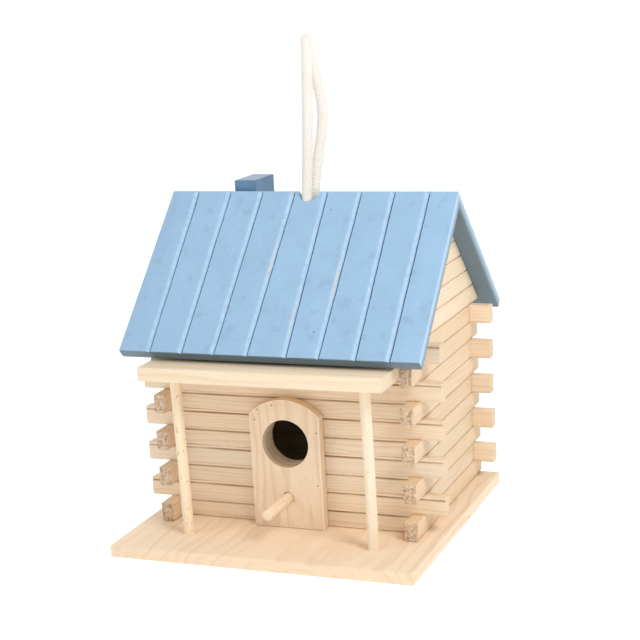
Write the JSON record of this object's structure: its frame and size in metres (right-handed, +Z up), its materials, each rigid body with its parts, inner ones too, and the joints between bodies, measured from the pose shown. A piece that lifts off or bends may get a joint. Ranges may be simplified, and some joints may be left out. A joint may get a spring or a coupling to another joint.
{
  "type": "birdhouse",
  "caption": "Log-cabin birdhouse: stacked-log walls on a base board, planked pitched roof with chimney, porch on dowel posts, round entry with perch, and a rope hanging loop.",
  "frame": {"origin": "centre of the base board's underside, on the surface that the birdhouse stands on", "axes": "+Z up, -Y towards the front with the entry hole, +X to the right of someone facing the front"},
  "size_m": [0.2056, 0.2161, 0.3204],
  "materials": {
    "pine": "bare pine, sawn and sanded",
    "pine_logs": "bare pine with eased edges",
    "dowel": "smooth pale dowel",
    "blue_paint": "sky blue satin paint on wood, worn at the groove edges",
    "cotton": "twisted cream cotton rope",
    "screw_steel": "zinc plated"
  },
  "bodies": {
    "house": {"back_log_01": "pine_logs", "back_log_02": "pine_logs", "back_log_03": "pine_logs", "back_log_04_left": "pine_logs", "back_log_04_right": "pine_logs", "back_log_05_left": "pine_logs", "back_log_05_right": "pine_logs", "back_log_06": "pine_logs", "back_log_07": "pine_logs", "back_log_08": "pine_logs", "back_log_09": "pine_logs", "back_log_10": "pine_logs", "back_log_11": "pine_logs", "base_board": "pine", "chimney": "blue_paint", "cleanout_screw": "screw_steel", "door_plate": "pine", "front_log_01": "pine_logs", "front_log_02": "pine_logs", "front_log_03": "pine_logs", "front_log_04": "pine_logs", "front_log_05_left": "pine_logs", "front_log_05_right": "pine_logs", "front_log_06": "pine_logs", "front_log_07": "pine_logs", "front_log_08": "pine_logs", "front_log_09": "pine_logs", "front_log_10": "pine_logs", "front_log_11": "pine_logs", "gable_left": "pine_logs", "gable_right": "pine_logs", "left_log_01": "pine_logs", "left_log_02": "pine_logs", "left_log_03": "pine_logs", "left_log_04": "pine_logs", "left_log_05": "pine_logs", "left_log_06": "pine_logs", "left_log_07": "pine_logs", "left_log_08": "pine_logs", "left_log_09": "pine_logs", "left_log_10": "pine_logs", "perch": "dowel", "porch_post_left": "dowel", "porch_post_right": "dowel", "porch_roof": "pine", "right_log_01": "pine_logs", "right_log_02": "pine_logs", "right_log_03": "pine_logs", "right_log_04": "pine_logs", "right_log_05": "pine_logs", "right_log_06": "pine_logs", "right_log_07": "pine_logs", "right_log_08": "pine_logs", "right_log_09": "pine_logs", "right_log_10": "pine_logs", "roof_front": "blue_paint", "roof_rear": "blue_paint", "rope_knot": "cotton", "rope_loop": "cotton"},
    "cover": {"cleanout_cover": "pine"}
  },
  "joints": [
    {"name": "cleanout_cover_swing", "type": "hinge", "parent": "house", "child": "cover", "pos_m": [0, 0.0884, 0.08868], "axis": [0, 1, 0], "range_deg": [-110, 110]}
  ]
}
